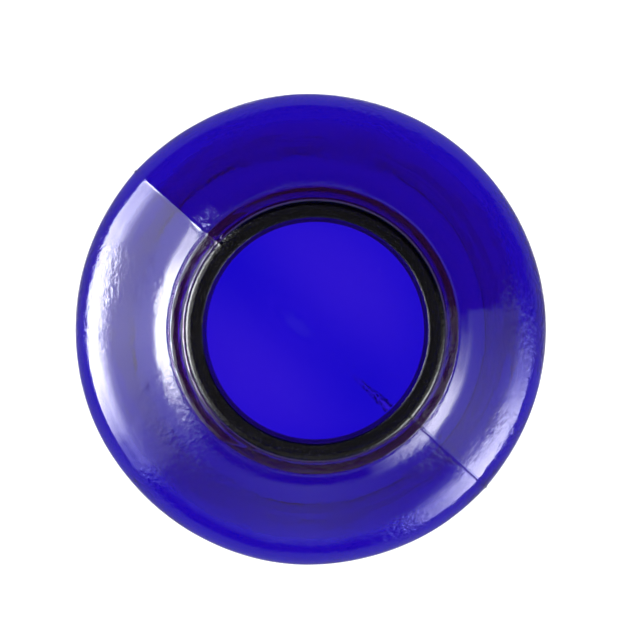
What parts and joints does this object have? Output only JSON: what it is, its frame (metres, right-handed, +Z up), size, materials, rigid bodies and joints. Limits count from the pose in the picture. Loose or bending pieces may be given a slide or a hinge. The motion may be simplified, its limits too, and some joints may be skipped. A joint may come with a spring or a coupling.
{
  "type": "mason jar",
  "caption": "Tall cobalt-blue glass canning jar, open, with a round shoulder, coarse neck thread and ground lip; its sealing lid and screw band stand beside it.",
  "frame": {"origin": "on the surface that the jar stands on, at the middle of its foot ring and on the axis of its mouth", "axes": "+Z up out of the mouth, +X from the jar to the closure that stands beside it"},
  "size_m": [0.2475, 0.1206, 0.235],
  "materials": {
    "cobalt_glass": "gloss",
    "lid_tinplate": "satin",
    "sealing_compound": "matte",
    "band_tinplate": "satin"
  },
  "bodies": {
    "jar": {"glass_jar": "cobalt_glass"},
    "lid": {"lid_disc": "lid_tinplate", "lid_seal": "sealing_compound"},
    "band": {"screw_band": "band_tinplate"}
  },
  "joints": [
    {"name": "lid_lift", "type": "slide", "parent": "jar", "child": "lid", "axis": [0, 0, 1], "range_m": [0, 0.26]},
    {"name": "band_turn", "type": "hinge", "parent": "lid", "child": "band", "pos_m": [0.15, 0, 0], "axis": [0, 0, 1], "continuous": true}
  ]
}
